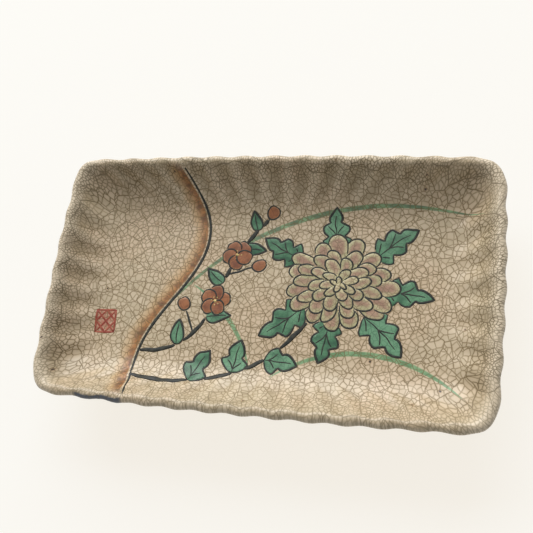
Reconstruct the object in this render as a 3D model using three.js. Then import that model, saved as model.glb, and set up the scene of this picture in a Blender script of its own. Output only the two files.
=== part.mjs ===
// A rectangular stoneware plate with a fluted wall and a rounded lip, and the foot ring that is luted to it.
// Millimetres, +Z up. The origin is in the middle of the plane that the foot stands on.
// +X runs along the plate's length, and +Y towards its back.

import * as THREE from "three";

// Overall sizes of the plate
const plateLength = 224; // between the two end rims, at the corners
const plateWidth = 128; // between the two long rims, at the corners
const plateHeight = 32;
const longSideBow = 2.0; // how far the middle of a long side stands out past its corners
const endBow = 1.8;
const rimCornerRadius = 12.5;

// Clay thicknesses
const floorThickness = 6.4;
const lipThickness = 5.6;

// Shape of the wall between the flat base and the lip
const wallRun = 30; // from the rim in to the edge of the flat base
const baseCornerRadius = 24;
const baseBow = 0.8;
const floorEase = 13; // how far the curve stays low after it leaves the floor
const lipEase = 12.5; // how far the curve stays steep below the lip
const lipLean = 25; // degrees that the top of the wall leans out from upright

// Flutes pressed into the wall, counted from corner to corner. They fan out from the middle of the plate.
const flutesAlongLength = 14;
const flutesAlongWidth = 8;
const fluteDepth = 2.4; // crest to trough, where the flutes are deepest
const fluteDeepest = 0.55; // where that is, as a share of the way from the base to the lip
const lipFluteDepth = 1.0; // crest to trough, at the lip
const cornerFluteShare = 0.3; // how much of the fluting is left in the middle of a corner

// Foot ring
const footHeight = 7;
const footInset = 2.5; // from the edge of the flat base to the foot's flare
const footFlare = 2.0; // radius of the clay that is smoothed into each side of the joint
const footTread = 4.4; // width of the face that the foot stands on
const footTaper = 0.6; // how much the foot narrows on each side towards its tread
const footChamfer = 0.7; // the edge of the tread, wiped round with a sponge

// Fineness of the mesh
const samplesPerFlute = 6;
const wallSteps = 7;
const lipSteps = 5;
const flareSteps = 3;
const footCornerSteps = 6;

// Heights and half sizes that follow from the sizes above
const floorTop = footHeight + floorThickness;
const rimHalf = { x: plateLength / 2, y: plateWidth / 2 };
const baseHalf = { x: rimHalf.x - wallRun, y: rimHalf.y - wallRun };

// The point where a ray from the middle of the plate, through the place that it aims at, crosses a
// rounded rectangle whose sides bow out.
function outlineOnRay(aim, half, cornerRadius, bow) {
  const ray = new THREE.Vector2(Math.abs(aim.x), Math.abs(aim.y)).normalize();
  const cornerCentre = new THREE.Vector2(half.x - cornerRadius, half.y - cornerRadius);
  const point = ray.clone().multiplyScalar(Math.min(half.x / ray.x, half.y / ray.y));
  if (point.x > cornerCentre.x && point.y > cornerCentre.y) {
    const nearest = ray.dot(cornerCentre);
    const onwards = Math.sqrt(nearest ** 2 - cornerCentre.lengthSq() + cornerRadius ** 2);
    point.copy(ray).multiplyScalar(nearest + onwards);
  }
  return new THREE.Vector2(
    Math.sign(aim.x) * (point.x + bow.end * (1 - (point.y / half.y) ** 2)),
    Math.sign(aim.y) * (point.y + bow.long * (1 - (point.x / half.x) ** 2)),
  );
}

// Where the cross-sections of the wall stand: the place on the rim that each aims at from the middle of
// the plate, how far the fluting's wave stands out there, and how much of it there is on the wall and at
// the lip. A flute that crosses the wall at a slant is narrower, and so it is shallower. A crest stands at
// every corner, where the fluting is softer.
function wallStations() {
  const { x, y } = rimHalf;
  const corners = [[-x, -y], [x, -y], [x, y], [-x, y]].map((corner) => new THREE.Vector2(...corner));
  const stations = [];
  for (let side = 0; side < 4; side += 1) {
    const isLong = side % 2 === 0;
    const count = (isLong ? flutesAlongLength : flutesAlongWidth) * samplesPerFlute;
    for (let step = 0; step < count; step += 1) {
      const aim = corners[side].clone().lerp(corners[(side + 1) % 4], step / count);
      const squareness = (isLong ? y : x) / aim.length();
      const pastCorner = THREE.MathUtils.smoothstep(Math.min(step, count - step) / samplesPerFlute, 0, 1);
      stations.push({
        aim,
        wave: Math.cos((2 * Math.PI * step) / samplesPerFlute),
        wallShare: THREE.MathUtils.lerp(cornerFluteShare, squareness, pastCorner),
        lipShare: THREE.MathUtils.lerp(cornerFluteShare, 1, pastCorner),
      });
    }
  }
  return stations;
}

// The middle line of the clay, in a plane of inset (inwards from the rim) and height.
function wallMiddleLine() {
  const middleOfFloor = footHeight + floorThickness / 2;
  const lipCentre = new THREE.Vector2(lipThickness / 2, plateHeight - lipThickness / 2);
  const lean = THREE.MathUtils.degToRad(lipLean);
  return new THREE.CubicBezierCurve(
    new THREE.Vector2(wallRun, middleOfFloor),
    new THREE.Vector2(wallRun - floorEase, middleOfFloor),
    new THREE.Vector2(lipCentre.x + lipEase * Math.sin(lean), lipCentre.y - lipEase * Math.cos(lean)),
    lipCentre,
  );
}

// The section of the wall: up its inner face, over the lip and down its outer face. Each entry is an
// inset, a height and a rise, which is the share of the way from the base to the lip.
function wallSection() {
  const line = wallMiddleLine();
  const inner = [];
  const outer = [];
  for (let step = 0; step <= wallSteps; step += 1) {
    const rise = step / wallSteps;
    const point = line.getPoint(rise);
    const tangent = line.getTangent(rise);
    const towardsInside = new THREE.Vector2(tangent.y, -tangent.x);
    const half = THREE.MathUtils.lerp(floorThickness, lipThickness, rise) / 2;
    const innerPoint = point.clone().addScaledVector(towardsInside, half);
    const outerPoint = point.clone().addScaledVector(towardsInside, -half);
    inner.push({ inset: innerPoint.x, height: innerPoint.y, rise });
    outer.unshift({ inset: outerPoint.x, height: outerPoint.y, rise });
  }
  const lip = [];
  const centre = line.getPoint(1);
  const end = line.getTangent(1);
  const firstAngle = Math.atan2(-end.x, end.y);
  for (let step = 1; step < lipSteps; step += 1) {
    const angle = firstAngle + (Math.PI * step) / lipSteps;
    lip.push({
      inset: centre.x + (lipThickness / 2) * Math.cos(angle),
      height: centre.y + (lipThickness / 2) * Math.sin(angle),
      rise: 1,
    });
  }
  return [...inner, ...lip, ...outer];
}

// Half the height of the fluting's wave: none at the base, deepest part of the way up, and less at the lip.
function fluteAmplitude(station, rise) {
  const onWall = (fluteDepth / 2) * station.wallShare * THREE.MathUtils.smoothstep(rise, 0, fluteDeepest);
  const onLip = (lipFluteDepth / 2) * station.lipShare;
  return THREE.MathUtils.lerp(onWall, onLip, THREE.MathUtils.smoothstep(rise, fluteDeepest, 1));
}

// A point of the wall. Near the rim the outline is a true inset of the rim's, with a smaller corner, and
// it draws over to the base's wide corner as the inset grows.
function wallPoint(station, { inset, height, rise }) {
  const waved = inset - fluteAmplitude(station, rise) * station.wave;
  const towardsBase = waved / wallRun;
  const half = { x: rimHalf.x - waved, y: rimHalf.y - waved };
  const insetOfBaseCorner = rimCornerRadius - wallRun;
  const cornerRadius = rimCornerRadius - waved + (baseCornerRadius - insetOfBaseCorner) * towardsBase ** 2;
  const plan = outlineOnRay(station.aim, half, cornerRadius, {
    long: THREE.MathUtils.lerp(longSideBow, baseBow, towardsBase),
    end: THREE.MathUtils.lerp(endBow, baseBow, towardsBase),
  });
  return new THREE.Vector3(plan.x, plan.y, height);
}

// Joins rings of points with bands of triangles. The rings follow each other from the inside of the top
// over the outside to the bottom, and each runs counterclockwise as seen from above.
function bandFaces(ringCount, ringSize, closeSection) {
  const faces = [];
  const bands = closeSection ? ringCount : ringCount - 1;
  for (let ring = 0; ring < bands; ring += 1) {
    const here = ring * ringSize;
    const next = ((ring + 1) % ringCount) * ringSize;
    for (let step = 0; step < ringSize; step += 1) {
      const after = (step + 1) % ringSize;
      faces.push(here + step, next + step, next + after);
      faces.push(here + step, next + after, here + after);
    }
  }
  return faces;
}

function geometryFrom(points, faces) {
  const geometry = new THREE.BufferGeometry().setFromPoints(points);
  geometry.setIndex(faces);
  geometry.computeVertexNormals();
  return geometry;
}

// The pressed slab: a flat floor, the fluted wall and the lip, closed underneath by the flat base.
function plateBodyGeometry() {
  const stations = wallStations();
  const section = wallSection();
  const points = section.flatMap((entry) => stations.map((station) => wallPoint(station, entry)));
  const faces = bandFaces(section.length, stations.length, false);
  const floorCentre = points.push(new THREE.Vector3(0, 0, floorTop)) - 1;
  const baseCentre = points.push(new THREE.Vector3(0, 0, footHeight)) - 1;
  const lastRing = (section.length - 1) * stations.length;
  for (let step = 0; step < stations.length; step += 1) {
    const after = (step + 1) % stations.length;
    faces.push(floorCentre, step, after);
    faces.push(baseCentre, lastRing + after, lastRing + step);
  }
  return geometryFrom(points, faces);
}

// One side of the foot's section, from the joint down to the tread: the concave flare, then the tapered
// face, then the chamfer. Distances are measured out from the middle of the tread.
function footSide() {
  const faceTop = footTread / 2 + footTaper;
  const side = [];
  for (let step = 0; step <= flareSteps; step += 1) {
    const angle = (Math.PI / 2) * (step / flareSteps);
    side.push({
      out: faceTop + footFlare * (1 - Math.sin(angle)),
      height: footHeight - footFlare * (1 - Math.cos(angle)),
    });
  }
  side.push({ out: footTread / 2 + footChamfer * 0.5, height: footChamfer });
  side.push({ out: footTread / 2 - footChamfer * 0.5, height: 0 });
  return side;
}

// A point of a rounded rectangle and its outward normal. Side 0 is the front, and the sides follow
// counterclockwise. Along a side, share runs from -1 at one corner's middle to 1 at the next.
function outlinePoint(side, share, half, cornerRadius) {
  const alongX = side % 2 === 0;
  const straight = (alongX ? half.x : half.y) - cornerRadius;
  const away = (alongX ? half.y : half.x) - cornerRadius;
  const distance = share * (straight + (Math.PI / 4) * cornerRadius);
  const turn = Math.sign(share) * Math.max(0, Math.abs(distance) - straight) / cornerRadius;
  const normal = new THREE.Vector2(Math.sin(turn), -Math.cos(turn));
  const start = new THREE.Vector2(THREE.MathUtils.clamp(distance, -straight, straight), -away);
  const point = start.addScaledVector(normal, cornerRadius);
  const middle = new THREE.Vector2();
  const quarterTurns = (side * Math.PI) / 2;
  return { point: point.rotateAround(middle, quarterTurns), normal: normal.rotateAround(middle, quarterTurns) };
}

// The foot ring: its section swept round a rounded rectangle that keeps to the shape of the base.
function footRingGeometry() {
  const side = footSide();
  const sectionHalf = side[0].out;
  const insetOfMiddle = footInset + sectionHalf;
  const middleHalf = { x: baseHalf.x - insetOfMiddle, y: baseHalf.y - insetOfMiddle };
  const middleRadius = baseCornerRadius - insetOfMiddle;
  const section = [...side, ...side.map(({ out, height }) => ({ out: -out, height })).reverse()];
  const points = [];
  let ringSize = 0;
  for (const { out, height } of section) {
    const before = points.length;
    for (let sideNumber = 0; sideNumber < 4; sideNumber += 1) {
      for (const share of footShares(sideNumber, middleHalf, middleRadius)) {
        const place = outlinePoint(sideNumber, share, middleHalf, middleRadius);
        const plan = place.point.addScaledVector(place.normal, out);
        points.push(new THREE.Vector3(plan.x, plan.y, height));
      }
    }
    ringSize = points.length - before;
  }
  return geometryFrom(points, bandFaces(section.length, ringSize, true));
}

// Shares along one side of the foot: close together round the corners, and one step along the straight.
function footShares(sideNumber, half, radius) {
  const straight = (sideNumber % 2 === 0 ? half.x : half.y) - radius;
  const endOfStraight = straight / (straight + (Math.PI / 4) * radius);
  const shares = [];
  const steps = footCornerSteps / 2;
  for (let step = 0; step < steps; step += 1) {
    shares.push(-1 + (1 - endOfStraight) * (step / steps));
  }
  for (let step = 0; step < steps; step += 1) {
    shares.push(endOfStraight + (1 - endOfStraight) * (step / steps));
  }
  shares.splice(steps, 0, -endOfStraight);
  return shares;
}

const crackleGlaze = new THREE.MeshStandardMaterial({ color: 0xbfae90, roughness: 0.25, metalness: 0 });
const bareClay = new THREE.MeshStandardMaterial({ color: 0x9c8266, roughness: 0.85, metalness: 0 });

const plateBody = new THREE.Mesh(plateBodyGeometry(), crackleGlaze);
plateBody.name = "plate_body";

const footRing = new THREE.Mesh(footRingGeometry(), bareClay);
footRing.name = "foot_ring";

const squarePlate = new THREE.Group();
squarePlate.add(plateBody, footRing);

export default squarePlate;
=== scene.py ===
# A rectangular stoneware plate with a crackled glaze, a painted flower and the light it is seen in.
import math
import random

import bmesh
import bpy
from mathutils import Matrix, Vector, geometry, noise
from mathutils.bvhtree import BVHTree


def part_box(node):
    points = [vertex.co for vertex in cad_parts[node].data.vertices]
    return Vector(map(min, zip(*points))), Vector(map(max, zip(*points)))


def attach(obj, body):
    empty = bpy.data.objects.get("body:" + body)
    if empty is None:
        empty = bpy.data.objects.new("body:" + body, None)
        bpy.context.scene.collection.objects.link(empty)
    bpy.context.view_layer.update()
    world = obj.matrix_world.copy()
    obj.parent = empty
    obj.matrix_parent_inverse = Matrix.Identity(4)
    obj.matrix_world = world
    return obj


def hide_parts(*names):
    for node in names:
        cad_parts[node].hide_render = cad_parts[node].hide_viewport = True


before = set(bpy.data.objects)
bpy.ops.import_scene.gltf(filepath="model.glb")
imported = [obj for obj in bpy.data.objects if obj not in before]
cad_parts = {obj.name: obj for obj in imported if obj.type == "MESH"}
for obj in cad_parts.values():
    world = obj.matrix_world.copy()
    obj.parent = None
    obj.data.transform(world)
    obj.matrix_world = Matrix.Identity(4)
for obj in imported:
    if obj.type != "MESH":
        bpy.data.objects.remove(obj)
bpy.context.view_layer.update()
scene = bpy.context.scene
scene.view_settings.view_transform = "Standard"
MM = 0.001

# The camera
# It looks steeply down on the plate from its front right, and is turned a little about its line of sight.
camera_place = Vector((104.51, -99.64, 348.61)) * MM
camera_direction = Vector((-0.2888, 0.3017, -0.9086))
camera_up = Vector((-0.0362, 0.9449, 0.3253))
camera_lens = 49.05
camera_sensor = 36.0

backwards = -camera_direction.normalized()
sideways = camera_up.cross(backwards).normalized()
camera_axes = Matrix((sideways, backwards.cross(sideways), backwards)).transposed()
camera = bpy.data.objects.new("camera", bpy.data.cameras.new("camera"))
camera.matrix_world = Matrix.Translation(camera_place) @ camera_axes.to_4x4()
camera.data.lens = camera_lens
camera.data.sensor_width = camera_sensor
scene.collection.objects.link(camera)
scene.camera = camera

# Pressed body
# The real plate is one slab of stoneware clay, pressed into a fluted mould and trimmed round its lip.
# Its solid is carried over, its floor gets an even mesh, and the unevenness of hand work is pressed into it.
floor_top = 13.4 * MM
lip_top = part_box("plate_body")[1].z
core_half = (58 * MM, 10 * MM)  # half the rectangle that the rim runs round at an even distance
lip_reach = 47.5 * MM  # from that rectangle out to the inner edge of the lip
unroll = 0.41  # what the slope of the wall adds to its run, for each unit of height
lip_squeeze = 0.45  # how much narrower the lip is in the unrolled map, which draws its cracks out across it
outer_island = 0.4  # where the outside of the plate lies in the unrolled map
broad_press = 0.26 * MM
broad_size = 36 * MM
close_press = 0.09 * MM
close_size = 13 * MM
close_place = Vector((7, 3, 0))  # sets the close unevenness apart from the broad one
lip_shrink = 0.6  # how far the lip draws in, as a share of each press
lip_start = 20 * MM
lip_blend = 10 * MM
sharp_corner = Vector((-108, 60)) * MM  # the back left corner, which is less round than the others
corner_pull = 1.6 * MM
corner_spread = 9 * MM


def merged_copy(node_name):
    bm = bmesh.new()
    bm.from_mesh(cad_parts[node_name].data)
    bmesh.ops.remove_doubles(bm, verts=bm.verts, dist=0.001 * MM)
    return bm


def fill_floor_evenly(bm):
    """Puts a grid of square faces in place of the fan of triangles on the flat floor."""
    fan_faces = 50  # only the middle of a flat face has more faces round it
    hub = max((v for v in bm.verts if len(v.link_faces) > fan_faces), key=lambda v: v.co.z)
    rim = [e for f in hub.link_faces for e in f.edges if hub not in e.verts]
    bmesh.ops.delete(bm, geom=[hub], context="VERTS")
    corner_lead = max(v.co.x for e in rim for v in e.verts) - max(v.co.y for e in rim for v in e.verts)
    middles = {e: (e.verts[0].co + e.verts[1].co) / 2 for e in rim}
    long_sides = [e for e, middle in middles.items() if abs(middle.y) > abs(middle.x) - corner_lead]
    bmesh.ops.grid_fill(bm, edges=long_sides)


def join_into_quads(bm):
    """Makes four-sided faces of pairs of triangles, whatever the angle between them."""
    bmesh.ops.join_triangles(bm, faces=bm.faces, angle_face_threshold=math.pi, angle_shape_threshold=math.pi)


def press_unevenly(bm):
    """Moves the surface by a fraction of a millimetre, inwards at the lip, and draws one corner out."""
    bm.normal_update()
    moves = {}
    for v in bm.verts:
        broad = noise.noise(v.co / broad_size)
        close = noise.noise(v.co / close_size + close_place)
        at_lip = min(1.0, max(0.0, (v.co.z - lip_start) / lip_blend))
        shrink = lip_shrink * at_lip
        press = broad_press * (broad - shrink) + close_press * (close - shrink)
        near = math.exp(-((v.co.xy - sharp_corner).length / corner_spread) ** 2)
        pull = Vector((*sharp_corner.normalized(), 0)) * corner_pull * near * at_lip
        moves[v] = v.normal * press + pull
    for v, move in moves.items():
        v.co += move


def outward_at(co):
    """The level direction from the middle of the plate out to a point, and how far out the point lies."""
    out = Vector([math.copysign(max(0.0, abs(value) - half), value) for value, half in zip(co, core_half)])
    return out.normalized(), out.length


def unrolled_place(co, inside):
    """A point of the surface laid out flat, with the straight walls folded outwards from the floor."""
    outward, reach = outward_at(co)
    fold = unroll * max(abs(outward.x), abs(outward.y)) ** 4
    if inside:
        rise = max(0.0, co.z - floor_top)
        over_lip = max(0.0, reach - lip_reach)
        return Vector((co.x, co.y)) + outward * (fold * rise - lip_squeeze * over_lip)
    return Vector((co.x + outer_island, co.y)) - outward * fold * (lip_top - co.z)


def unroll_surface(bm):
    steepest = -0.15  # how far a face of the inside may look down
    lowest = floor_top - 1 * MM
    layer = bm.loops.layers.uv.new("unrolled")
    for face in bm.faces:
        inside = face.normal.z > steepest and face.calc_center_median().z > lowest
        for loop in face.loops:
            loop[layer].uv = unrolled_place(loop.vert.co, inside)


def mark_form(bm):
    """Keeps for the shader how far each point faces out, how deep in a flute it lies, and the corners."""
    outward_layer = bm.verts.layers.float.new("outward")
    hollow_layer = bm.verts.layers.float.new("hollow")
    corner_layer = bm.verts.layers.float.new("corner")
    for v in bm.verts:
        outward = outward_at(v.co)[0]
        neighbours = [edge.other_vert(v).co for edge in v.link_edges]
        level = sorted(neighbours, key=lambda co: abs(co.z - v.co.z))
        v[outward_layer] = max(0.0, v.normal.xy.dot(outward))
        v[hollow_layer] = ((level[0] + level[1]) / 2 - v.co).dot(v.normal) / MM
        v[corner_layer] = abs(2 * outward.x * outward.y)


def object_from(name, bm):
    """Makes an object of a finished bmesh."""
    mesh = bpy.data.meshes.new(name)
    bm.to_mesh(mesh)
    bm.free()
    made = bpy.data.objects.new(name, mesh)
    scene.collection.objects.link(made)
    return made


def add_piece(name, bm):
    """Makes a finished bmesh a smooth piece that rides on the plate."""
    piece = object_from(name, bm)
    piece.data.shade_smooth()
    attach(piece, "root")
    return piece


def subdivide(piece, levels):
    modifier = piece.modifiers.new("rounding", "SUBSURF")
    modifier.levels = levels
    modifier.render_levels = levels


bm = merged_copy("plate_body")
fill_floor_evenly(bm)
join_into_quads(bm)
unroll_surface(bm)
mark_form(bm)
press_unevenly(bm)
glazed_body = add_piece("glazed_body", bm)
subdivide(glazed_body, 1)
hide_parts("plate_body")

# Crackled glaze
# A thick beige feldspar glaze shrank more than the clay did. It crazed into small cells, and brown stain
# settled in the cracks. They are drawn on the unrolled surface, so that they keep their size on the walls.


def sRGB(red, green, blue):
    """A colour as a paint chart gives it, 0 to 255, made linear for a shader."""
    linear = [((c / 255 + 0.055) / 1.055) ** 2.4 if c > 10 else c / 3295 for c in (red, green, blue)]
    return (*linear, 1.0)


def node(tree, kind, inputs=None, **settings):
    """Adds a node, and sets or links its inputs, which are given by name or number."""
    made = tree.nodes.new(kind)
    for name, value in settings.items():
        setattr(made, name, value)
    for key, value in (inputs or {}).items():
        if isinstance(value, bpy.types.NodeSocket):
            tree.links.new(value, made.inputs[key])
        else:
            made.inputs[key].default_value = value
    return made


def calculate(tree, operation, first, second=0.0, third=0.0):
    return node(tree, "ShaderNodeMath", {0: first, 1: second, 2: third}, operation=operation).outputs[0]


def product(tree, *factors):
    result = factors[0]
    for factor in factors[1:]:
        result = calculate(tree, "MULTIPLY", result, factor)
    return result


def axes_of(tree, vector):
    return node(tree, "ShaderNodeSeparateXYZ", {0: vector}).outputs


def mesh_value(tree, name):
    """A value that the mesh keeps at each of its points."""
    return node(tree, "ShaderNodeAttribute", attribute_name=name).outputs["Fac"]


def vector_sum(tree, operation, first, second):
    return node(tree, "ShaderNodeVectorMath", {0: first, 1: second}, operation=operation).outputs[0]


def scaled(tree, vector, factor):
    return node(tree, "ShaderNodeVectorMath", {0: vector, "Scale": factor}, operation="SCALE").outputs[0]


def ease(tree, value, low, high, start=0.0, end=1.0):
    """Goes smoothly from start to end while the value goes from low to high."""
    inputs = {"Value": value, "From Min": low, "From Max": high, "To Min": start, "To Max": end}
    return node(tree, "ShaderNodeMapRange", inputs, interpolation_type="SMOOTHSTEP").outputs[0]


def mixed(tree, factor, first, second, blend="MIX"):
    inputs = {0: factor, 6: first, 7: second}
    return node(tree, "ShaderNodeMix", inputs, data_type="RGBA", blend_type=blend).outputs[2]


def clouds(tree, place, size, detail=2.0, roughness=0.5, output="Fac"):
    """Soft noise from 0 to 1, whose patches are about the given size in millimetres."""
    inputs = {"Vector": place, "Scale": 1 / size, "Detail": detail, "Roughness": roughness}
    return node(tree, "ShaderNodeTexNoise", inputs).outputs[output]


def cells(tree, place, size, feature, randomness=1.0):
    inputs = {"Vector": place, "Scale": 1 / size, "Randomness": randomness}
    return node(tree, "ShaderNodeTexVoronoi", inputs, voronoi_dimensions="2D", feature=feature)


def start_group(name, inputs, outputs):
    """Starts a shader node group, and returns it with its input and output nodes."""
    tree = bpy.data.node_groups.new(name, "ShaderNodeTree")
    for socket_name, kind in inputs.items():
        tree.interface.new_socket(socket_name, in_out="INPUT", socket_type="NodeSocket" + kind)
    for socket_name, kind in outputs.items():
        tree.interface.new_socket(socket_name, in_out="OUTPUT", socket_type="NodeSocket" + kind)
    return tree, tree.nodes.new("NodeGroupInput").outputs, tree.nodes.new("NodeGroupOutput").inputs


def use_group(tree, group, inputs):
    return node(tree, "ShaderNodeGroup", inputs, node_tree=group).outputs


def make_crackle():
    """Crazing in two generations: the first parts the glaze into plates, and the second parts each plate."""
    first_size = 6.6
    second_size = 3.0
    evenness = 0.74
    tree, given, result = start_group(
        "crackle",
        {"Place": "Vector", "Fineness": "Float"},
        {"Lines": "Float", "Halo": "Float", "Tone": "Float"},
    )
    drift = clouds(tree, given["Place"], 5.0, 1.0, output="Color")
    sway = vector_sum(tree, "SUBTRACT", drift, (0.5, 0.5, 0.5))
    place = vector_sum(tree, "ADD", given["Place"], scaled(tree, sway, 1.8))
    plates = cells(tree, place, first_size, "F1").outputs
    first_edge = cells(tree, place, first_size, "DISTANCE_TO_EDGE").outputs["Distance"]
    draws = node(tree, "ShaderNodeSeparateColor", {0: plates["Color"]}).outputs
    from_plate = scaled(tree, vector_sum(tree, "SUBTRACT", place, plates["Position"]), given["Fineness"])
    own_turn = product(tree, draws[2], math.tau)
    turn_inputs = {"Vector": from_plate, "Angle": own_turn}
    own_heading = node(tree, "ShaderNodeVectorRotate", turn_inputs, rotation_type="Z_AXIS").outputs[0]
    own_place = vector_sum(tree, "ADD", own_heading, scaled(tree, plates["Color"], 97.0))
    inner = cells(tree, own_place, second_size, "F1", evenness).outputs
    second_edge = cells(tree, own_place, second_size, "DISTANCE_TO_EDGE", evenness).outputs["Distance"]
    first_gap = product(tree, first_edge, first_size)
    second_gap = calculate(tree, "DIVIDE", product(tree, second_edge, second_size), given["Fineness"])
    depth = ease(tree, clouds(tree, given["Place"], 7.0, 3.0), 0.36, 0.62, 0.5, 1.0)
    first_line = ease(tree, first_gap, 0.05, 0.28, 1.0, 0.0)
    second_line = product(tree, ease(tree, second_gap, 0.05, 0.26, 1.0, 0.0), depth)
    nearest = calculate(tree, "MINIMUM", first_gap, second_gap)
    tree.links.new(calculate(tree, "MAXIMUM", first_line, second_line), result["Lines"])
    tree.links.new(ease(tree, nearest, 0.1, 0.7, 1.0, 0.0), result["Halo"])
    tree.links.new(node(tree, "ShaderNodeSeparateColor", {0: inner["Color"]}).outputs[0], result["Tone"])
    return tree


def make_kiln_specks():
    """Small iron spots and pits, few and far between, each with a stained ring round it."""
    spacing = 11.0
    tree, given, result = start_group(
        "kiln_specks", {"Place": "Vector"}, {"Spots": "Float", "Rings": "Float"}
    )
    spots = cells(tree, given["Place"], spacing, "F1").outputs
    draw = node(tree, "ShaderNodeSeparateColor", {0: spots["Color"]}).outputs
    ragged = calculate(tree, "MULTIPLY_ADD", clouds(tree, given["Place"], 0.7), 0.5, -0.25)
    distance = calculate(tree, "MULTIPLY_ADD", spots["Distance"], spacing, ragged)
    size = calculate(tree, "MULTIPLY_ADD", draw[1], 0.4, 0.2)
    chosen = calculate(tree, "GREATER_THAN", draw[0], 0.88)
    spot = calculate(tree, "LESS_THAN", distance, size)
    ring = ease(tree, distance, 0.2, 1.5, 1.0, 0.0)
    tree.links.new(product(tree, spot, chosen), result["Spots"])
    tree.links.new(product(tree, ring, chosen), result["Rings"])
    return tree


def make_brushed_arc():
    """A blade of grass: one stroke along an arc, with the brush's hairs showing and both ends drawn out."""
    numbers = dict.fromkeys(("Radius", "From", "To", "Width"), "Float")
    inputs = {"Place": "Vector", "Centre": "Vector", **numbers}
    tree, given, result = start_group("brushed_arc", inputs, {"Paint": "Float"})
    offset = vector_sum(tree, "SUBTRACT", given["Place"], given["Centre"])
    axis = axes_of(tree, offset)
    squares = [product(tree, value, value) for value in (axis[0], axis[1])]
    reach = calculate(tree, "SQRT", calculate(tree, "ADD", *squares))
    angle = calculate(tree, "DEGREES", calculate(tree, "ARCTAN2", axis[1], axis[0]))
    along_inputs = {0: angle, 1: given["From"], 2: given["To"], 3: 0.0, 4: 1.0}
    along = node(tree, "ShaderNodeMapRange", along_inputs).outputs[0]
    swell = calculate(tree, "SINE", product(tree, along, math.pi))
    half = product(tree, calculate(tree, "POWER", swell, 0.6), given["Width"])
    across = calculate(tree, "SUBTRACT", reach, given["Radius"])
    hair_place = node(tree, "ShaderNodeCombineXYZ", {0: product(tree, along, 4.0), 1: across}).outputs[0]
    hairs = clouds(tree, hair_place, 0.45, 3.0)
    divisor = calculate(tree, "MAXIMUM", half, 0.01)
    edge = calculate(tree, "DIVIDE", calculate(tree, "ABSOLUTE", across), divisor)
    rough_edge = calculate(tree, "MULTIPLY_ADD", hairs, 0.55, edge)
    tree.links.new(ease(tree, rough_edge, 1.0, 1.45, 1.0, 0.0), result["Paint"])
    return tree


crackle = make_crackle()
kiln_specks = make_kiln_specks()
brushed_arc = make_brushed_arc()

# The bank of a stream, painted in iron under the cracks: where its line runs across the plate
stream_middle = -50.0
stream_swing = 15.0
stream_pitch = 22.0
stream_shift = 8.0
stream_reach = 61.0
wash_width = 11.5

# Blades of grass, in millimetres and degrees: these inputs of the brushed arc, and their green
blade_inputs = ("Centre", "Radius", "From", "To", "Width")
grass_blades = [
    ((60.0, -95.0, 0.0), 140.0, 72.0, 147.0, 1.3, sRGB(44, 92, 60)),
    ((50.0, -100.0, 0.0), 70.0, 48.0, 128.0, 1.35, sRGB(62, 124, 80)),
    ((-75.0, -66.0, 0.0), 75.0, 20.0, 62.0, 1.15, sRGB(70, 132, 90)),
]
grass_thin = sRGB(112, 158, 112)

# The blue bough on the outer edge of the lip: its middle and half length, and its lowest and highest edge
bough_middle = -73.0
bough_half = 14.0
bough_foot = 29.4
bough_top = 31.9

# The square stamp, in millimetres and degrees
mark_centre = (-86.0, -22.0)
mark_half = (5.2, 6.0)
mark_heading = 4.0


def start_material(name, **sockets):
    """Starts a material, with constants set on its shader's own sockets, and returns its tree and shader."""
    material = bpy.data.materials.new(name)
    material.use_nodes = True
    shader = material.node_tree.nodes["Principled BSDF"]
    for key, value in sockets.items():
        shader.inputs[key.replace("_", " ")].default_value = value
    return material, material.node_tree, shader.inputs


def emboss(tree, shader, height, distance, strength):
    """Lets the light follow a relief that is too fine for the mesh, and is given in millimetres."""
    bump = node(tree, "ShaderNodeBump", {"Height": height, "Distance": distance * MM, "Strength": strength})
    tree.links.new(bump.outputs[0], shader["Normal"])


def in_millimetres(tree, kind):
    """A place on the surface in millimetres, from the plate's own axes or from the unrolled map."""
    if kind == "unrolled":
        source = node(tree, "ShaderNodeUVMap", uv_map="unrolled").outputs[0]
    else:
        source = node(tree, "ShaderNodeTexCoord").outputs["Object"]
    return scaled(tree, source, 1000.0)


def uneven_fineness(tree, place):
    """How much finer the crackle is from one part of the plate to the next."""
    return ease(tree, clouds(tree, place, 46.0, 3.0), 0.35, 0.65, 0.98, 1.24)


def cracks_below(tree, plan):
    """The cracks of the floor as they show through the thin enamels over them."""
    flat = vector_sum(tree, "MULTIPLY", plan, (1.0, 1.0, 0.0))
    return use_group(tree, crackle, {"Place": flat, "Fineness": uneven_fineness(tree, flat)})["Lines"]


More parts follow.
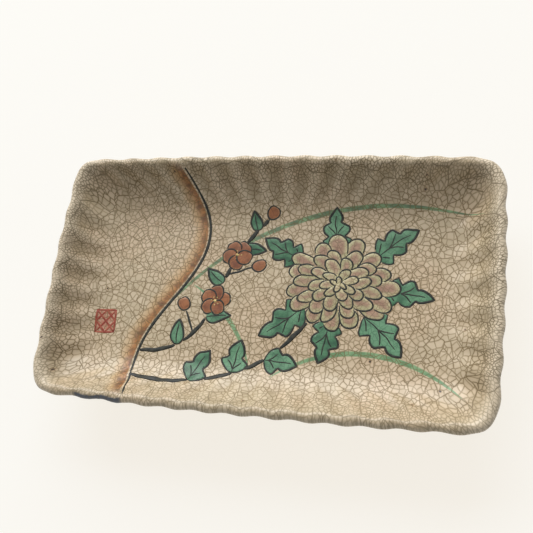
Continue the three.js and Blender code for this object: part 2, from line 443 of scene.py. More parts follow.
def paint_wash(tree, plan, glaze):
    """The iron wash on the left of the stream's line: dark where it pooled, ochre where it ran thin."""
    axis = axes_of(tree, plan)
    turn = calculate(tree, "DIVIDE", calculate(tree, "ADD", axis[1], stream_shift), stream_pitch)
    line = calculate(tree, "MULTIPLY_ADD", calculate(tree, "SINE", turn), stream_swing, stream_middle)
    slope = product(tree, calculate(tree, "COSINE", turn), stream_swing / stream_pitch)
    steepness = calculate(tree, "SQRT", calculate(tree, "MULTIPLY_ADD", slope, slope, 1.0))
    gap = calculate(tree, "DIVIDE", calculate(tree, "SUBTRACT", line, axis[0]), steepness)
    blot = clouds(tree, plan, 5.0, 4.0, 0.6)
    wavy_gap = calculate(tree, "ADD", gap, calculate(tree, "MULTIPLY_ADD", blot, 5.0, -2.5))
    thin = ease(tree, wavy_gap, 2.0, wash_width, 1.0, 0.0)
    edge = ease(tree, gap, 1.0, 1.7)
    from_middle = calculate(tree, "ABSOLUTE", axis[1])
    off_lip = ease(tree, from_middle, stream_reach - 4.0, stream_reach + 2.0, 1.0, 0.0)
    body = ease(tree, wavy_gap, wash_width * 0.3, wash_width * 0.7, 1.0, 0.0)
    brown = mixed(tree, ease(tree, blot, 0.36, 0.6), sRGB(98, 60, 30), sRGB(158, 106, 54))
    ochre = mixed(tree, body, sRGB(188, 146, 88), brown)
    return mixed(tree, product(tree, thin, edge, off_lip), glaze, ochre)


def paint_stamp(tree, plan, glaze):
    """The thin red that the square stamp leaves under its bars."""
    from_centre = vector_sum(tree, "SUBTRACT", plan, (*mark_centre, 0.0))
    turn_inputs = {"Vector": from_centre, "Angle": -math.radians(mark_heading)}
    straight = node(tree, "ShaderNodeVectorRotate", turn_inputs, rotation_type="Z_AXIS").outputs[0]
    axis = axes_of(tree, straight)
    shares = [
        calculate(tree, "DIVIDE", calculate(tree, "ABSOLUTE", axis[side]), mark_half[side]) for side in (0, 1)
    ]
    blot = clouds(tree, plan, 1.6, 3.0, 0.6)
    reach = calculate(tree, "MULTIPLY_ADD", blot, 0.2, calculate(tree, "MAXIMUM", *shares))
    cover = product(tree, ease(tree, reach, 1.05, 1.2, 1.0, 0.0), ease(tree, blot, 0.3, 0.7, 0.9, 0.45))
    return mixed(tree, cover, glaze, sRGB(166, 98, 78))


def paint_bough(tree, plan, outward, glaze):
    """A bough brushed in dark blue along the outer edge of the lip, near the left end of the front."""
    axis = axes_of(tree, plan)
    blot = clouds(tree, plan, 2.5, 3.0)
    from_middle = calculate(tree, "ABSOLUTE", calculate(tree, "SUBTRACT", axis[0], bough_middle))
    length = ease(tree, from_middle, bough_half - 2.5, bough_half, 1.0, 0.0)
    ragged_height = calculate(tree, "MULTIPLY_ADD", blot, 1.2, axis[2])
    below_top = ease(tree, ragged_height, bough_top, bough_top + 0.4, 1.0, 0.0)
    above_foot = ease(tree, ragged_height, bough_foot, bough_foot + 0.4)
    in_front = calculate(tree, "LESS_THAN", axis[1], 0.0)
    faces_out = ease(tree, outward, 0.1, 0.3)
    cover = product(tree, length, below_top, above_foot, in_front, faces_out, 0.92)
    return mixed(tree, cover, glaze, sRGB(44, 60, 80))


def make_glaze():
    material, tree, shader = start_material(
        "crackle_glaze", Coat_Weight=0.12, Coat_Roughness=0.22, Specular_IOR_Level=0.4
    )
    place = in_millimetres(tree, "unrolled")
    plan = in_millimetres(tree, "plate")
    axis = axes_of(tree, plan)
    broad = clouds(tree, place, 46.0, 3.0)
    mottle = clouds(tree, place, 6.0, 3.0, 0.6)
    corner = mesh_value(tree, "corner")
    rise = ease(tree, axis[2], 17.0, 28.0)
    over_lip = ease(tree, axis[2], 26.0, 30.0, 0.0, 0.3)
    on_wall = calculate(tree, "MULTIPLY_ADD", corner, 0.4, ease(tree, axis[1], -62.0, -30.0, 0.4, 0.75))
    evenly_fine = calculate(tree, "ADD", calculate(tree, "MULTIPLY_ADD", rise, on_wall, 1.0), over_lip)
    fineness = product(tree, evenly_fine, uneven_fineness(tree, place))
    cracks = use_group(tree, crackle, {"Place": place, "Fineness": fineness})
    specks = use_group(tree, kiln_specks, {"Place": place})
    warmth = ease(tree, broad, 0.4, 0.62)
    glaze = mixed(tree, warmth, sRGB(182, 167, 140), sRGB(193, 171, 143))
    glaze = mixed(tree, ease(tree, mottle, 0.35, 0.7, 0.0, 0.4), glaze, sRGB(174, 155, 124))
    smoke = ease(tree, clouds(tree, place, 13.0, 2.0), 0.46, 0.66)
    up_the_wall = ease(tree, axis[2], 14.0, 21.0, 0.12, 0.4)
    to_the_left = ease(tree, axis[0], 60.0, 95.0, 1.0, 0.3)
    glaze = mixed(tree, product(tree, smoke, up_the_wall, to_the_left), glaze, sRGB(146, 134, 106))
    glaze = mixed(tree, product(tree, cracks["Tone"], 0.4), glaze, sRGB(217, 199, 173))
    glaze = mixed(tree, product(tree, cracks["Halo"], 0.4), glaze, sRGB(152, 135, 102))
    glaze = mixed(tree, product(tree, specks["Rings"], 0.5), glaze, sRGB(150, 116, 76))
    # Painted shade and light on the flutes: the hollows are painted darker and the ridges lighter, most at
    # the left and back and least in the corners.
    hollow = mesh_value(tree, "hollow")
    flute_shade_left = ease(tree, axis[0], 40.0, 90.0, 1.0, 0.1)
    flute_shade_back = ease(tree, axis[1], -50.0, 40.0, 0.15, 0.45)
    flute_shade_share = product(tree, flute_shade_left, flute_shade_back, ease(tree, corner, 0.0, 1.0, 1.0, 0.2))
    painted_hollow_shade = product(tree, ease(tree, hollow, 0.0, 0.25), flute_shade_share)
    painted_ridge_light = product(tree, ease(tree, hollow, -0.25, 0.0, 1.0, 0.0), flute_shade_share)
    glaze = mixed(tree, painted_hollow_shade, glaze, sRGB(146, 130, 100))
    glaze = mixed(tree, painted_ridge_light, glaze, sRGB(222, 206, 180))
    outward = mesh_value(tree, "outward")
    # Painted light: faces that look outwards, on the outside of the lip and wall, are painted paler, as if
    # more light reached them.
    glaze = mixed(tree, ease(tree, outward, 0.1, 0.7, 0.0, 0.35), glaze, sRGB(214, 199, 172))
    # Painted light: the upper wall and lip at both ends are painted paler, as if lit more strongly there.
    on_end = ease(tree, calculate(tree, "ABSOLUTE", axis[0]), 95.0, 105.0)
    painted_end_light = product(tree, ease(tree, axis[2], 25.5, 30.0), on_end)
    glaze = mixed(tree, product(tree, painted_end_light, 0.45), glaze, sRGB(226, 212, 188))
    island = axes_of(tree, place)[0]
    inside = calculate(tree, "LESS_THAN", island, outer_island / MM / 2)
    painted = paint_stamp(tree, plan, paint_wash(tree, plan, glaze))
    glaze = mixed(tree, inside, glaze, painted)
    glaze = paint_bough(tree, plan, outward, glaze)
    for *blade, green in grass_blades:
        inputs = {"Place": plan, **dict(zip(blade_inputs, blade))}
        paint = use_group(tree, brushed_arc, inputs)["Paint"]
        grass = mixed(tree, ease(tree, mottle, 0.4, 0.62, 0.0, 0.8), green, grass_thin)
        glaze = mixed(tree, product(tree, paint, inside, 0.85), glaze, grass)
    stain = mixed(tree, rise, sRGB(102, 83, 46), sRGB(88, 75, 47))
    outside_stain = ease(tree, outward, 0.1, 0.7, 0.9, 0.65)
    front_stain = ease(tree, axis[1], -58.0, -40.0, 0.75, 1.0)
    corner_stain = ease(tree, product(tree, corner, rise), 0.3, 1.0, 1.0, 0.85)
    stain_cover = product(tree, cracks["Lines"], outside_stain, front_stain, corner_stain)
    glaze = mixed(tree, stain_cover, glaze, stain)
    glaze = mixed(tree, specks["Spots"], glaze, sRGB(70, 56, 42))
    tree.links.new(glaze, shader["Base Color"])
    rough = calculate(tree, "MULTIPLY_ADD", mottle, 0.14, 0.36)
    tree.links.new(calculate(tree, "MULTIPLY_ADD", cracks["Lines"], 0.2, rough), shader["Roughness"])
    dents = calculate(tree, "ADD", cracks["Lines"], product(tree, specks["Spots"], 4.0))
    relief = calculate(tree, "MULTIPLY_ADD", dents, -0.35, clouds(tree, place, 3.5, 2.0))
    emboss(tree, shader, relief, 0.1, 0.8)
    return material


glazed_body.data.materials.clear()
glazed_body.data.materials.append(make_glaze())

# Foot ring
# A roll of the same clay, luted under the slab and turned. The glaze is wiped off its tread, which shows
# the bare, iron-flecked body. Its solid is carried over, rounded, and let into the base a little.
seat_depth = 0.4 * MM
tread_bevel = 0.5 * MM


def unroll_foot(bm):
    """Lays the foot out flat round its plan, so that cracks keep their shape on its upright walls."""
    layer = bm.loops.layers.uv.new("unrolled")
    for face in bm.faces:
        for loop in face.loops:
            co = loop.vert.co
            loop[layer].uv = co.xy + outward_at(co)[0] * co.z


bm = merged_copy("foot_ring")
join_into_quads(bm)
base_height = max(v.co.z for v in bm.verts)
tread = [f for f in bm.faces if all(v.co.z < 0.01 * MM for v in f.verts)]
bmesh.ops.inset_region(bm, faces=tread, thickness=tread_bevel, use_boundary=True, use_even_offset=True)
for v in bm.verts:
    if v.co.z > base_height - 0.01 * MM:
        v.co.z += seat_depth
unroll_foot(bm)
foot = add_piece("foot", bm)
subdivide(foot, 2)
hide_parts("foot_ring")


def make_bare_clay():
    material, tree, shader = start_material("bare_clay", Specular_IOR_Level=0.3)
    place = in_millimetres(tree, "plate")
    height = axes_of(tree, place)[2]
    grain = clouds(tree, place, 0.8, 4.0, 0.7)
    patches = clouds(tree, place, 12.0, 3.0)
    clay = mixed(tree, ease(tree, patches, 0.38, 0.64), sRGB(158, 132, 104), sRGB(134, 104, 78))
    clay = mixed(tree, ease(tree, grain, 0.56, 0.7, 0.0, 0.55), clay, sRGB(92, 66, 48))
    glaze_line = calculate(tree, "MULTIPLY_ADD", patches, 1.6, 0.6)
    glazed = ease(tree, calculate(tree, "SUBTRACT", height, glaze_line), 0.0, 0.35)
    cracks = use_group(tree, crackle, {"Place": in_millimetres(tree, "unrolled"), "Fineness": 1.5})
    glaze = mixed(tree, product(tree, cracks["Lines"], 0.7), sRGB(178, 163, 134), sRGB(104, 90, 62))
    tree.links.new(mixed(tree, glazed, clay, glaze), shader["Base Color"])
    tree.links.new(ease(tree, glazed, 0.0, 1.0, 0.88, 0.3), shader["Roughness"])
    relief = calculate(tree, "ADD", grain, product(tree, glazed, 2.0))
    emboss(tree, shader, relief, 0.12, 0.7)
    return material


foot.data.materials.clear()
foot.data.materials.append(make_bare_clay())

# Painted leaves
# Green lead enamel, laid over the fired glaze inside dark outlines, and fired again at a low heat.
# Each leaf is a shallow pool of glass that swells from its edge, and follows the surface under it.
enamel_thickness = 0.12 * MM
enamel_sink = 0.15 * MM
swell_run = 0.45 * MM  # how far in from its edge a pool takes to swell
patch_pitch = 1.1 * MM
path_pitch = 1.0 * MM
line_height = 0.16  # of a brush line's half width
line_shake = 0.2
shake_size = 6 * MM
steps_per_side = 30
lobe_depth = 0.46
lobe_peak = 0.72
tip_bend = 0.07
hand_sway = 0.55 * MM
sway_size = 5 * MM
hand_seed = 5  # without a seed, the noise that the hand sways by starts from the clock
noise.seed_set(hand_seed)

# Base, heading in degrees, length, width and lobes of the leaves round the large flower, in millimetres
flower_leaves = [
    ((20, -8), 214, 27, 17, 3),
    ((33, -14), 258, 22, 15, 3),
    ((50, -12), 312, 26, 17, 3),
    ((58, 1), 350, 24, 15, 3),
    ((53, 18), 34, 25, 16, 3),
    ((34, 22), 94, 22, 15, 3),
    ((16, 16), 148, 23, 15, 3),
]
# Where the stems run, in millimetres. Both grow from the bank.
branch_knots = [(-63.5, -36), (-50, -34), (-38, -27), (-29, -14), (-24, 2), (-19, 16), (-11, 28), (-4, 37)]
flower_stem_knots = [(-64.5, -49), (-46, -51), (-26, -48.5), (-7, -42), (9, -31), (20, -19), (27, -10)]
# Where leaves leave the stems: share of the stem, turn from its heading, length, width and lobes
branch_leaves = [
    (0.2, 52, 13, 7, 0),
    (0.4, -58, 13, 7, 0),
    (0.585, 62, 12, 6.5, 0),
    (0.8, -64, 13, 7, 0),
    (0.93, 58, 11, 6, 0),
]
flower_stem_leaves = [
    (0.3, 58, 18, 14, 2),
    (0.5, 58, 17, 13, 2),
    (0.66, -50, 17, 13, 2),
]


def surface_of(piece):
    """The finished surface of a piece, for rays to strike."""
    return BVHTree.FromObject(piece, bpy.context.evaluated_depsgraph_get())


glaze_surfaces = [surface_of(glazed_body)]


def on_top(across, along, lift):
    """The point that lies lift above the highest surface there, as seen from above."""
    start = Vector((across, along, lip_top + 10 * MM))
    hits = [tree.ray_cast(start, Vector((0, 0, -1)))[0] for tree in glaze_surfaces]
    return Vector((across, along, max(hit.z for hit in hits if hit) + lift))


def on_front(across, height, lift):
    """The point that stands lift out from the front of the plate, as seen from the front."""
    start = Vector((across, -200 * MM, height))
    hit = glaze_surfaces[0].ray_cast(start, Vector((0, 1, 0)))[0]
    return Vector((across, hit.y - lift, height))


def turned(points, heading, base):
    """Local points, turned to a heading in degrees and moved to a base in millimetres."""
    turn = Matrix.Rotation(math.radians(heading), 2)
    return [turn @ Vector(point) * MM + Vector(base) * MM for point in points]


def by_hand(points):
    """Points as a hand puts them: a little off their place, and their neighbours with them."""
    sways = [noise.noise_vector(Vector((*point, 0)) / sway_size).to_2d() for point in points]
    return [point + sway * hand_sway for point, sway in zip(points, sways)]


def around(steps):
    """Evenly spaced angles of a whole turn, in radians."""
    return [math.tau * step / steps for step in range(steps)]


def edge_distance(point, outline):
    """How far a point lies from the nearest edge of an outline."""
    gaps = []
    for start, end in zip(outline, outline[1:] + outline[:1]):
        foot, share = geometry.intersect_point_line(point, start, end)
        nearest = foot if 0 <= share <= 1 else (start if share < 0 else end)
        gaps.append((Vector(point) - nearest.to_2d()).length)
    return min(gaps)


def lay_patch(target, outline, thickness, tone=0.5, lift=0.0, surface=on_top):
    """Adds a pool of enamel to the target, with its depth from the edge and its tone kept for the shader."""
    patch = bmesh.new()
    depth_layer = patch.verts.layers.float.new("depth")
    tone_layer = patch.verts.layers.float.new("tone")
    patch.faces.new([patch.verts.new((*point, 0)) for point in outline])
    for axis in (0, 1):
        reach = [point[axis] / patch_pitch for point in outline]
        for step in range(math.ceil(min(reach)), math.ceil(max(reach))):
            normal = Vector((axis == 0, axis == 1, 0))
            parts = patch.verts[:] + patch.edges[:] + patch.faces[:]
            bmesh.ops.bisect_plane(patch, geom=parts, plane_co=normal * step * patch_pitch, plane_no=normal)
    made = bmesh.ops.extrude_face_region(patch, geom=patch.faces[:])["geom"]
    top = {v for v in made if isinstance(v, bmesh.types.BMVert)}
    for v in patch.verts:
        depth = edge_distance(v.co.to_2d(), outline)
        swell = thickness * (1 - math.exp(-depth / swell_run))
        v[depth_layer] = depth / MM
        v[tone_layer] = tone
        v.co = surface(v.co.x, v.co.y, lift + swell if v in top else -enamel_sink)
    bmesh.ops.recalc_face_normals(patch, faces=patch.faces)
    mesh = bpy.data.meshes.new("patch")
    patch.to_mesh(mesh)
    patch.free()
    target.from_mesh(mesh)
    bpy.data.meshes.remove(mesh)


def smooth_path(points):
    """A soft curve through points in millimetres, as points in metres that lie about a path pitch apart."""
    knots = [Vector((*point, 0)) * MM for point in points]
    knots = [knots[0], *knots, knots[-1]]
    path = []
    for before, start, end, after in zip(knots, knots[1:], knots[2:], knots[3:]):
        leaving = start + (end - before) / 6
        arriving = end - (after - start) / 6
        count = math.ceil((end - start).length / path_pitch) + 2
        path += geometry.interpolate_bezier(start, leaving, arriving, end, count)[:-1]
    return by_hand([point.to_2d() for point in path + [knots[-1]]])


def along_path(path, share):
    """A place on a path, in millimetres, and the path's heading there, in degrees."""
    index = round(share * (len(path) - 2))
    run = path[index + 1] - path[index]
    return path[index] / MM, math.degrees(math.atan2(run.y, run.x))


def is_inside(point, outline):
    """Whether a point lies inside an outline: a ray from it crosses the outline an odd number of times."""
    crossings = 0
    for start, end in zip(outline, outline[1:] + outline[:1]):
        if (start.y > point.y) != (end.y > point.y):
            share = (point.y - start.y) / (end.y - start.y)
            crossings += point.x < start.x + share * (end.x - start.x)
    return crossings % 2 == 1


def strokes(line, half_width, covers):
    """The stretches of a line that no shape painted later covers, each with its half width."""
    stretches = [[]]
    for point in line:
        if any(is_inside(point, cover) for cover in covers):
            stretches.append([])
        else:
            stretches[-1].append(point)
    return [(stretch, half_width) for stretch in stretches if len(stretch) > 2]


def brush_lines(name, lines, surface=on_top):
    """Lines drawn with a pointed brush. Each has points and a half width, and thins towards its ends."""
    curve = bpy.data.curves.new(name, "CURVE")
    curve.dimensions = "3D"
    curve.bevel_depth = 1.0
    curve.bevel_resolution = 1
    curve.use_fill_caps = True
    for points, half_width in lines:
        spline = curve.splines.new("POLY")
        spline.points.add(len(points) - 1)
        for index, (place, point) in enumerate(zip(points, spline.points)):
            share = index / (len(points) - 1)
            pressure = 0.5 + 0.5 * math.sin(math.pi * share) ** 0.6
            shake = 1 + line_shake * noise.noise(Vector((*place, 0)) / shake_size)
            point.co = (*place, 0, 1)
            point.radius = half_width * pressure * shake
    drawn = bpy.data.objects.new(name, curve)
    scene.collection.objects.link(drawn)
    mesh = bpy.data.meshes.new_from_object(drawn.evaluated_get(bpy.context.evaluated_depsgraph_get()))
    bpy.data.objects.remove(drawn)
    lines_bm = bmesh.new()
    lines_bm.from_mesh(mesh)
    bpy.data.meshes.remove(mesh)
    bmesh.ops.remove_doubles(lines_bm, verts=lines_bm.verts, dist=0.001 * MM)
    for v in lines_bm.verts:
        v.co = surface(v.co.x, v.co.y, v.co.z * line_height)
    bmesh.ops.recalc_face_normals(lines_bm, faces=lines_bm.faces)
    return add_piece(name, lines_bm)


def bent(points, length):
    """Points of a leaf, with its tip bent a little to one side."""
    return [(x, y + tip_bend * length * math.sin(2.2 * x / length)) for x, y in points]


def leaf_outline(base, heading, length, width, lobes):
    """A leaf whose margins swell out to pointed lobes, or a plain one where it has none."""
    margin = []
    for step in range(1, steps_per_side):
        along = step / steps_per_side
        swell = 2.62 * along**0.5 * (1 - along)
        phase = lobes * along % 1.0
        in_last_lobe = lobes * along > lobes - 1
        swelling = 1 - max(0.0, 1 - phase / lobe_peak) ** 2
        falling = 1 if in_last_lobe else min(1.0, (1 - phase) / (1 - lobe_peak)) ** 1.5
        notch = 1 - swelling * falling if lobes else 0
        margin.append((along * length, width / 2 * swell * (1 - lobe_depth * notch)))
    other_margin = [(x, -y) for x, y in reversed(margin)]
    outline = [(0, 0), *margin, (length, 0), *other_margin]
    return by_hand(turned(bent(outline, length), heading, base))


def leaf_veins(base, heading, length, width, lobes):
    """The middle vein, and a side vein to the point of each lobe but the last."""
    veins = [[(share * length, 0) for share in (0.04, 0.3, 0.55, 0.82)]]
    for lobe in range(lobes - 1):
        tip = (lobe + lobe_peak) / lobes * length
        start = tip - 0.24 * length
        for side in (1, -1):
            veins.append([(start, 0), ((start + tip) / 2, side * width * 0.1), (tip, side * width * 0.27)])
    return [smooth_path([p / MM for p in turned(bent(vein, length), heading, base)]) for vein in veins]


def leaves_on(stem, leaves):
    """The leaves of a stem, each with its base on the stem."""
    placed = []
    for share, turn, *size in leaves:
        base, heading = along_path(stem, share)
        placed.append((base, heading + turn, *size))
    return placed


random_hand = random.Random(11)
branch = smooth_path(branch_knots)
flower_stem = smooth_path(flower_stem_knots)
all_leaves = flower_leaves + leaves_on(branch, branch_leaves) + leaves_on(flower_stem, flower_stem_leaves)
leaf_shapes = [leaf_outline(*leaf) for leaf in all_leaves]
bm = bmesh.new()
for shape in leaf_shapes:
    lay_patch(bm, shape, enamel_thickness, tone=random_hand.random())
green_leaves = add_piece("green_leaves", bm)
glaze_surfaces.append(surface_of(green_leaves))


def make_enamel_pool():
    """How a pool of enamel varies: brush streaks through it, and glass that thins out at its edge."""
    tree, given, result = start_group(
        "enamel_pool",
        {"Place": "Vector"},
        {"Streaks": "Float", "Depth": "Float", "Edge": "Float", "Tone": "Float"},
    )
    depth = mesh_value(tree, "depth")
    tone = mesh_value(tree, "tone")
    stretched = node(tree, "ShaderNodeMapping", {0: given["Place"], 3: (0.28, 1.0, 1.0)}).outputs[0]
    fine_streaks = clouds(tree, stretched, 1.1, 4.0, 0.65)
    blots = clouds(tree, given["Place"], 4.5, 2.0)
    streaks = calculate(tree, "MULTIPLY_ADD", blots, 0.6, product(tree, fine_streaks, 0.4))
    uneven_depth = calculate(tree, "MULTIPLY_ADD", blots, 0.8, depth)
    sheen = clouds(tree, given["Place"], 9.0, 1.0)
    uneven_tone = calculate(tree, "MULTIPLY_ADD", tone, 0.5, sheen)
    tree.links.new(streaks, result["Streaks"])
    tree.links.new(depth, result["Depth"])
    tree.links.new(ease(tree, uneven_depth, 0.25, 1.5, 1.0, 0.0), result["Edge"])
    tree.links.new(ease(tree, uneven_tone, 0.45, 1.05), result["Tone"])
    return tree


enamel_pool = make_enamel_pool()


def make_enamel(name, *tones):
    """A lead enamel in four tones, from where it lies thick to where it thins out at its edge."""
    dark, middle, light, edge = [sRGB(*tone) for tone in tones]
    smoothest = 0.34
    material, tree, shader = start_material(
        name, Coat_Weight=0.12, Coat_Roughness=0.3, Specular_IOR_Level=0.35
    )
    place = in_millimetres(tree, "plate")
    pool = use_group(tree, enamel_pool, {"Place": place})
    paint = mixed(tree, ease(tree, pool["Streaks"], 0.36, 0.62), dark, middle)
    paint = mixed(tree, product(tree, pool["Tone"], 0.55), paint, light)
    paint = mixed(tree, product(tree, pool["Edge"], 0.7), paint, edge)
    paint = mixed(tree, product(tree, cracks_below(tree, place), 0.5), paint, dark)
    tree.links.new(paint, shader["Base Color"])
    tree.links.new(calculate(tree, "MULTIPLY_ADD", pool["Streaks"], 0.18, smoothest), shader["Roughness"])
    emboss(tree, shader, pool["Streaks"], 0.1, 0.5)
    return material


green_leaves.data.materials.append(
    make_enamel("green_enamel", (30, 74, 50), (58, 108, 74), (122, 166, 132), (46, 92, 64))
)

# Large flower
# Rings of long petals in an opaque mauve enamel, each floated on a wider pool of pale yellow-green.
# The petals are laid from the outside in, and each ring lies on the last.
flower_centre = (36, 4)
flower_tilt = 0.86
petal_thickness = 0.05 * MM
ring_lift = 0.05 * MM
petal_steps = 32
# Number of petals, and where they start and end from the middle, and their width, in millimetres
petal_rings = [
    (15, 11.0, 29.0, 11.0),
    (13, 7.0, 22.5, 9.4),
    (10, 3.5, 16.0, 8.0),
    (7, 0.5, 10.0, 6.0),
    (4, -1.5, 4.6, 4.0),
]


def petal_outline(inner, outer, width, heading, bend):
    """A long petal, narrow at its base and round at its tip, of a flower seen a little from the side."""
    points = []
    for angle in around(petal_steps):
        along = (1 - math.cos(angle)) / 2
        aside = width / 2 * math.sin(angle) * max(along, 0.02) ** 0.4
        points.append((inner + (outer - inner) * along, aside + bend * along**2))
    flat = [Matrix.Rotation(math.radians(heading), 2) @ Vector(point) for point in points]
    return by_hand([Vector((flower_centre[0] + x, flower_centre[1] + y * flower_tilt)) * MM for x, y in flat])


petal_shapes = []
bm = bmesh.new()
for level, (count, inner, outer, width) in enumerate(petal_rings):
    for number in range(count):
        heading = 360 * (number + 0.5 * level) / count + random_hand.uniform(-5, 5)
        reach = outer * random_hand.uniform(0.9, 1.04)
        broad = width * random_hand.uniform(0.88, 1.1)
        shape = petal_outline(inner, reach, broad, heading, random_hand.uniform(-2, 2))
        petal_shapes.append(shape)
        lift = ring_lift * (level + 0.5 * (number % 2))
        lay_patch(bm, shape, petal_thickness, tone=random_hand.random(), lift=lift)
flower_petals = add_piece("flower_petals", bm)
glaze_surfaces.append(surface_of(flower_petals))


def make_mauve_enamel():
    material, tree, shader = start_material("mauve_enamel", Coat_Weight=0.1, Coat_Roughness=0.3)
    place = in_millimetres(tree, "plate")
    pool = use_group(tree, enamel_pool, {"Place": place})
    specks = clouds(tree, place, 1.3, 3.0, 0.7)
    ragged_depth = calculate(tree, "MULTIPLY_ADD", specks, 2.0, pool["Depth"])
    heart = ease(tree, calculate(tree, "MULTIPLY_ADD", pool["Streaks"], 7.0, ragged_depth), 4.7, 7.5)
    mauve = mixed(tree, ease(tree, pool["Streaks"], 0.38, 0.64), sRGB(140, 106, 88), sRGB(172, 142, 116))
    mauve = mixed(tree, ease(tree, specks, 0.4, 0.66, 0.5, 0.0), mauve, sRGB(126, 92, 76))
    halo = mixed(tree, pool["Tone"], sRGB(162, 158, 118), sRGB(188, 178, 138))
    paint = mixed(tree, heart, halo, mauve)
    paint = mixed(tree, product(tree, cracks_below(tree, place), 0.75), paint, sRGB(104, 86, 56))
    tree.links.new(paint, shader["Base Color"])
    tree.links.new(calculate(tree, "MULTIPLY_ADD", pool["Streaks"], 0.25, 0.28), shader["Roughness"])
    emboss(tree, shader, pool["Streaks"], 0.1, 0.5)
    return material


flower_petals.data.materials.append(make_mauve_enamel())

# Blossoms on the branch
# Small round-petalled blossoms and buds in an iron-red enamel, with stamens dotted on in ochre.
blossom_petal_size = 8.4
bud_size = 6.6
blossom_thickness = 0.1 * MM
blossom_lift = 0.03 * MM  # of every other petal over its neighbours
petals_per_blossom = 5
stamen_count = 7
stamen_reach = 2.1
stamen_radius = 0.42
stamen_thickness = 0.15 * MM
pistil_radius = 1.0
pistil_thickness = 0.2 * MM
round_steps = 20
dot_steps = 7
# Share of the branch where each blossom sits, and the heading of its first petal
blossoms = [(0.5, 12), (0.76, 50)]
# Share of the branch where each bud's twig leaves it, where the bud sits, and its heading
buds = [(0.3, (-42, -13), 118), (0.64, (-9, 11), 18), (0.98, (-3, 38), 62)]


def round_petal(centre, size, heading, stretch=1.0):
    """A nearly round petal with a shallow notch in its tip."""
    points = []
    for angle in around(round_steps):
        notch = 1 - 0.13 * math.exp(-(math.remainder(angle, math.tau) / 0.35) ** 2)
        along = size / 2 * (1 + stretch * notch * math.cos(angle))
        points.append((along, size / 2 * 0.94 * notch * math.sin(angle)))
    return by_hand(turned(points, heading, centre))


def dot(centre, away, radius, heading):
    """A small round dab of the brush, some way off a centre."""
    points = [(away + radius * math.cos(angle), radius * math.sin(angle)) for angle in around(dot_steps)]
    return turned(points, heading, centre)


blossom_shapes = []
for share, first in blossoms:
    for number in range(petals_per_blossom):
        size = blossom_petal_size * random_hand.uniform(0.93, 1.05)
        heading = first + 360 * number / petals_per_blossom + random_hand.uniform(-5, 5)
        blossom_shapes.append(round_petal(along_path(branch, share)[0], size, heading))
bud_shapes = [round_petal(place, bud_size, heading, 1.15) for share, place, heading in buds]
bm = bmesh.new()
for number, shape in enumerate(blossom_shapes + bud_shapes):
    lift = blossom_lift * (number % 2)
    lay_patch(bm, shape, blossom_thickness, tone=random_hand.random(), lift=lift)
blossom_petals = add_piece("blossom_petals", bm)
glaze_surfaces.append(surface_of(blossom_petals))
blossom_petals.data.materials.append(
    make_enamel("russet_enamel", (94, 48, 26), (134, 78, 44), (156, 102, 62), (180, 140, 100))
)

bm = bmesh.new()
for share, first in blossoms:
    centre = along_path(branch, share)[0]
    for number in range(stamen_count):
        shape = dot(centre, stamen_reach, stamen_radius, first + 360 * number / stamen_count)
        lay_patch(bm, shape, stamen_thickness)
    lay_patch(bm, dot(centre, 0, pistil_radius, first), pistil_thickness)
stamens = add_piece("stamens", bm)
stamens.data.materials.append(
    make_enamel("ochre_enamel", (166, 138, 74), (190, 162, 96), (206, 182, 120), (196, 174, 116))
)

# Dark drawing
# The outlines, veins, stems and the line of the stream's bank, drawn with a fine brush in dark iron and
# cobalt before the enamels are filled in. What a later shape covers isn't drawn.
outline_half = 0.6
petal_line_half = 0.46
vein_half = 0.34
stem_half = 1.15
twig_half = 0.6
bank_half = 0.8
bank_steps = 70

lines = []
for number, shape in enumerate(leaf_shapes):
    later = leaf_shapes[number + 1:] + petal_shapes + blossom_shapes
    lines += strokes(shape + shape[:1], outline_half, later)
for number, leaf in enumerate(all_leaves):
    later = leaf_shapes[number + 1:] + petal_shapes + blossom_shapes
    for vein in leaf_veins(*leaf):
        lines += strokes(vein, vein_half, later)
for number, shape in enumerate(petal_shapes):
    tip = shape[petal_steps // 5: -petal_steps // 5 + 1]  # the outline but for the petal's base
    lines += strokes(tip, petal_line_half, petal_shapes[number + 1:])
for number, shape in enumerate(blossom_shapes + bud_shapes):
    blossom_end = petals_per_blossom * (number // petals_per_blossom + 1)
    lines += strokes(shape + shape[:1], petal_line_half, blossom_shapes[number + 1: blossom_end])
twigs = []
for share, place, heading in buds:
    start = along_path(branch, share)[0]
    back = Vector(place) - Matrix.Rotation(math.radians(heading), 2) @ Vector((4, 0))
    twigs.append(smooth_path([start, (start + 2 * back) / 3, place]))
covers = leaf_shapes + petal_shapes + blossom_shapes + bud_shapes
for path, half in [(branch, stem_half), (flower_stem, stem_half)] + [(twig, twig_half) for twig in twigs]:
    lines += strokes(path, half, covers)
bank = []
for step in range(bank_steps + 1):
    along = stream_reach * (2 * step / bank_steps - 1)
    across = stream_middle + stream_swing * math.sin((along + stream_shift) / stream_pitch)
    bank.append(Vector((across, along)) * MM)
lines.append((bank, bank_half))
dark_drawing = brush_lines("dark_drawing", [(points, half * MM) for points, half in lines])


def make_line_paint(name, dark, light):
    material, tree, shader = start_material(name, Specular_IOR_Level=0.25)
    place = in_millimetres(tree, "plate")
    uneven = ease(tree, clouds(tree, place, 2.2, 3.0), 0.4, 0.68)
    tree.links.new(mixed(tree, uneven, dark, light), shader["Base Color"])
    tree.links.new(calculate(tree, "MULTIPLY_ADD", uneven, 0.2, 0.45), shader["Roughness"])
    return material


dark_drawing.data.materials.append(make_line_paint("dark_line", sRGB(27, 30, 27), sRGB(54, 55, 48)))

# Red mark
# A small square stamped in iron red near the wall. It holds a plain trellis of crossing bars.
mark_line_half = 0.55 * MM
bar_steps = 8

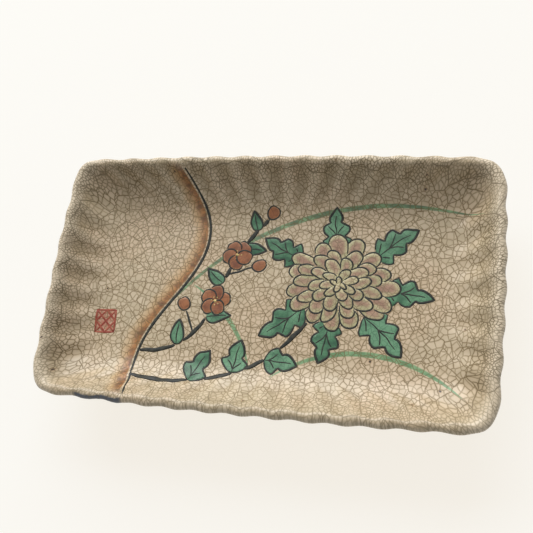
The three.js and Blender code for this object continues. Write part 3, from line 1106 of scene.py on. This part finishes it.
wide, tall = mark_half
corners = [(-wide, -tall), (wide, -tall), (wide, tall), (-wide, tall)]
bars = [(start, end) for start, end in zip(corners, corners[1:] + corners[:1])]
for side in (1, -1):
    bars.append(((-side * wide, -tall), (side * wide, tall)))
    bars.append(((-side * wide, 0), (0, tall)))
    bars.append(((0, -tall), (side * wide, 0)))
bar_lines = []
for start, end in bars:
    stops = [Vector(start).lerp(Vector(end), step / bar_steps) for step in range(bar_steps + 1)]
    bar_lines.append((turned(stops, mark_heading, mark_centre), mark_line_half))
red_mark = brush_lines("red_mark", bar_lines)
red_mark.data.materials.append(make_line_paint("red_mark", sRGB(134, 58, 46), sRGB(160, 90, 70)))

# Blue leaves on the outside
# Leaves in a dark blue enamel hang from the painted bough, each one a stroke of the brush.
blue_leaf_top = 29.8
blue_leaf_half_width = 1.8
blue_leaf_thickness = 0.15 * MM
# Where along the bough each leaf hangs, its heading and its length
hanging_leaves = [
    (-82, 236, 11.0),
    (-77.5, 258, 13.0),
    (-73, 274, 11.5),
    (-68.5, 288, 12.5),
    (-64, 306, 10.5),
]

bm = bmesh.new()
for across, heading, length in hanging_leaves:
    stroke = []
    for angle in around(round_steps):
        stroke.append((length * (1 - math.cos(angle)) / 2, blue_leaf_half_width * math.sin(angle)))
    shape = turned(stroke, heading, (across, blue_leaf_top))
    lay_patch(bm, shape, blue_leaf_thickness, tone=random_hand.random(), surface=on_front)
blue_leaves = add_piece("blue_leaves", bm)
blue_leaves.data.materials.append(
    make_enamel("blue_enamel", (34, 48, 66), (44, 66, 84), (58, 88, 100), (80, 104, 108))
)

# Table and light
# The plate stands on plain pale paper. One wide soft window stands low behind it, so that the back wall lies
# in shade and the front wall is bright, and the room fills in the rest.
paper_tint = (0.84, 0.85, 0.86, 1.0)
paper_shade_tint = (0.62, 0.8, 1.0, 1.0)
paper_seen = sRGB(255, 248, 236)
paper_seen_strength = 1.04
paper_seen_share = 0.82
lamp_place = Vector((-650, 2080, 1420)) * MM
lamp_wide = 3.0
lamp_tall = 1.6
lamp_power = 100.0
room_light = 0.36
table_half = 3.0
table_faces = 8

bm = bmesh.new()
bmesh.ops.create_grid(bm, x_segments=table_faces, y_segments=table_faces, size=table_half)
table = object_from("table", bm)


def seen_rays(tree):
    """One for the rays that show the surroundings themselves, straight, in a reflection or through glass."""
    rays = node(tree, "ShaderNodeLightPath").outputs
    straight_or_glossy = calculate(tree, "MAXIMUM", rays["Is Camera Ray"], rays["Is Glossy Ray"])
    return calculate(tree, "MAXIMUM", straight_or_glossy, rays["Is Transmission Ray"])


paper, tree, shader = start_material("paper", Roughness=0.9)
glow_inputs = {"Color": paper_seen, "Strength": paper_seen_strength}
even_white = node(tree, "ShaderNodeEmission", glow_inputs).outputs[0]
seen = seen_rays(tree)
tree.links.new(mixed(tree, seen, paper_tint, paper_shade_tint), shader["Base Color"])
share = product(tree, seen, paper_seen_share)
blend_inputs = {0: share, 1: tree.nodes["Principled BSDF"].outputs[0], 2: even_white}
blend = node(tree, "ShaderNodeMixShader", blend_inputs)
tree.links.new(blend.outputs[0], tree.nodes["Material Output"].inputs["Surface"])
table.data.materials.append(paper)

lamp = bpy.data.objects.new("window", bpy.data.lights.new("window", "AREA"))
lamp.data.shape = "RECTANGLE"
lamp.data.size = lamp_wide
lamp.data.size_y = lamp_tall
lamp.data.energy = lamp_power
lamp.location = lamp_place
lamp.rotation_euler = (-lamp_place).to_track_quat("-Z", "Y").to_euler()
scene.collection.objects.link(lamp)

room = bpy.data.worlds.new("room")
room.use_nodes = True
tree = room.node_tree
tree.nodes["Background"].inputs["Color"].default_value = (1, 1, 1, 1)
strength = calculate(tree, "MULTIPLY_ADD", seen_rays(tree), 1 - room_light, room_light)
tree.links.new(strength, tree.nodes["Background"].inputs["Strength"])
scene.world = room
